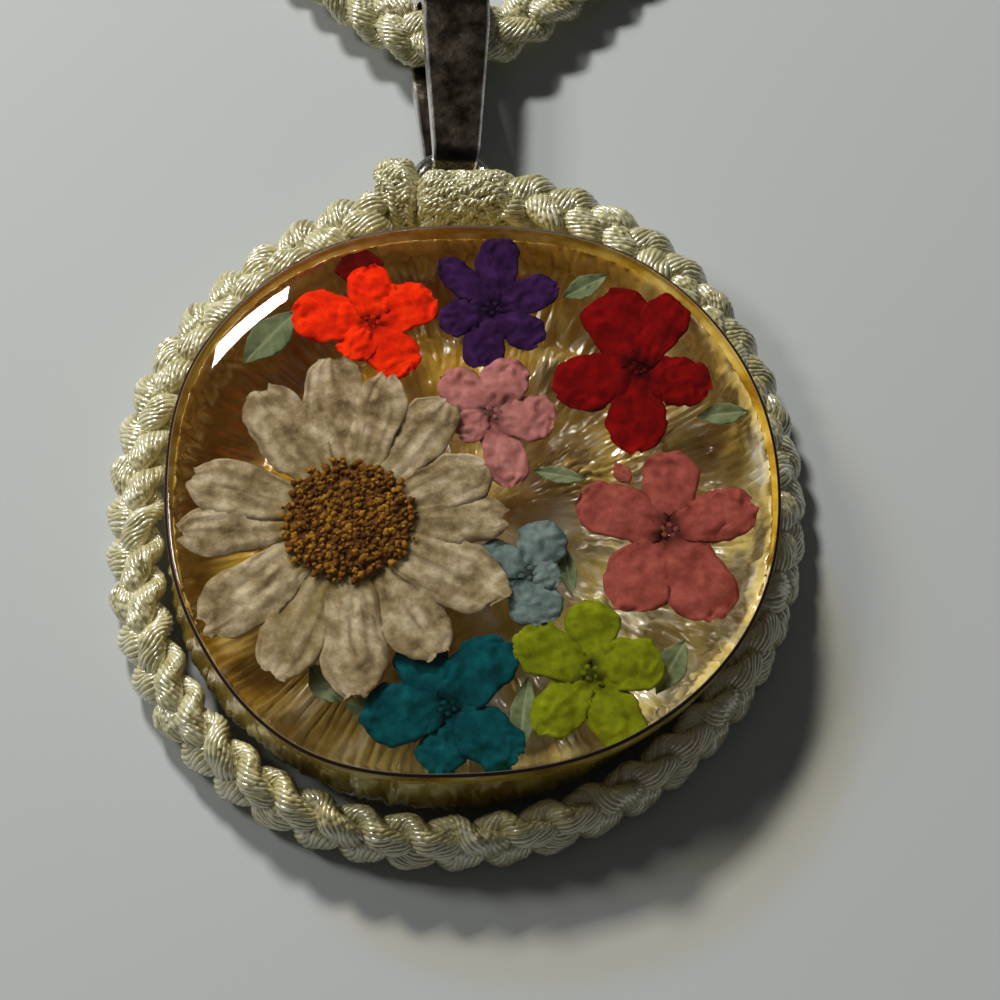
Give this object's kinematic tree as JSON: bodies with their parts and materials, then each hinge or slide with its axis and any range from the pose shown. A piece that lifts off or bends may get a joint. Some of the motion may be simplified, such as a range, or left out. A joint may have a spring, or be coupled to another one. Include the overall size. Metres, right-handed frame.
{
  "type": "flower pendant",
  "caption": "Round clear resin pendant with pressed flowers over a pleated satin cup, a braided border, a jump ring, a folded bail and a braided neck cord, lying on its back.",
  "frame": {"origin": "on the surface the pendant lies on, under the middle of the resin disc", "axes": "+Z out of the disc's face, +Y from the disc to the bail and the neck cord, +X to the right"},
  "size_m": [0.1141, 0.2281, 0.0084],
  "materials": {
    "clear_resin": "polished clear cast resin",
    "satin": "golden brown satin with a soft sheen",
    "border_cord": "glossy pale gold twisted thread",
    "wrap_thread": "glossy pale gold twisted thread",
    "ring_metal": "bright silver tone",
    "bail_metal": "mottled silver tone with bright edges",
    "neck_cord": "glossy pale gold twisted thread",
    "clasp_metal": "brushed silver tone",
    "daisy_cream": "dried cream petal with fine veins",
    "daisy_brown": "granular golden brown flower centre",
    "orange_petal": "dried dyed petal",
    "purple_petal": "dried dyed petal",
    "red_petal": "dried dyed petal",
    "pink_petal": "dried dyed petal",
    "coral_petal": "dried dyed petal",
    "blue_petal": "dried dyed petal",
    "teal_petal": "dried dyed petal",
    "lime_petal": "dried dyed petal",
    "dark_red_petal": "dried dark petal",
    "coral_bud": "dried bud",
    "sage_leaf": "dried sage green leaf"
  },
  "bodies": {
    "root": {"resin_cabochon": "clear_resin", "satin_backing": "satin", "border_strand_a": "border_cord", "border_strand_b": "border_cord", "border_strand_c": "border_cord", "ring_wrap": "wrap_thread", "jump_ring": "ring_metal", "bail": "bail_metal", "neck_cord": "neck_cord", "clasp": "clasp_metal", "daisy_petals": "daisy_cream", "daisy_disc": "daisy_brown", "orange_flower": "orange_petal", "purple_flower": "purple_petal", "red_flower": "red_petal", "pink_flower": "pink_petal", "coral_flower": "coral_petal", "blue_flower": "blue_petal", "teal_flower": "teal_petal", "lime_flower": "lime_petal", "dark_red_petal": "dark_red_petal", "coral_bud": "coral_bud", "leaf_1": "sage_leaf", "leaf_2": "sage_leaf", "leaf_3": "sage_leaf", "leaf_4": "sage_leaf", "leaf_5": "sage_leaf", "leaf_6": "sage_leaf", "leaf_7": "sage_leaf", "leaf_8": "sage_leaf", "leaf_9": "sage_leaf"}
  },
  "joints": []
}
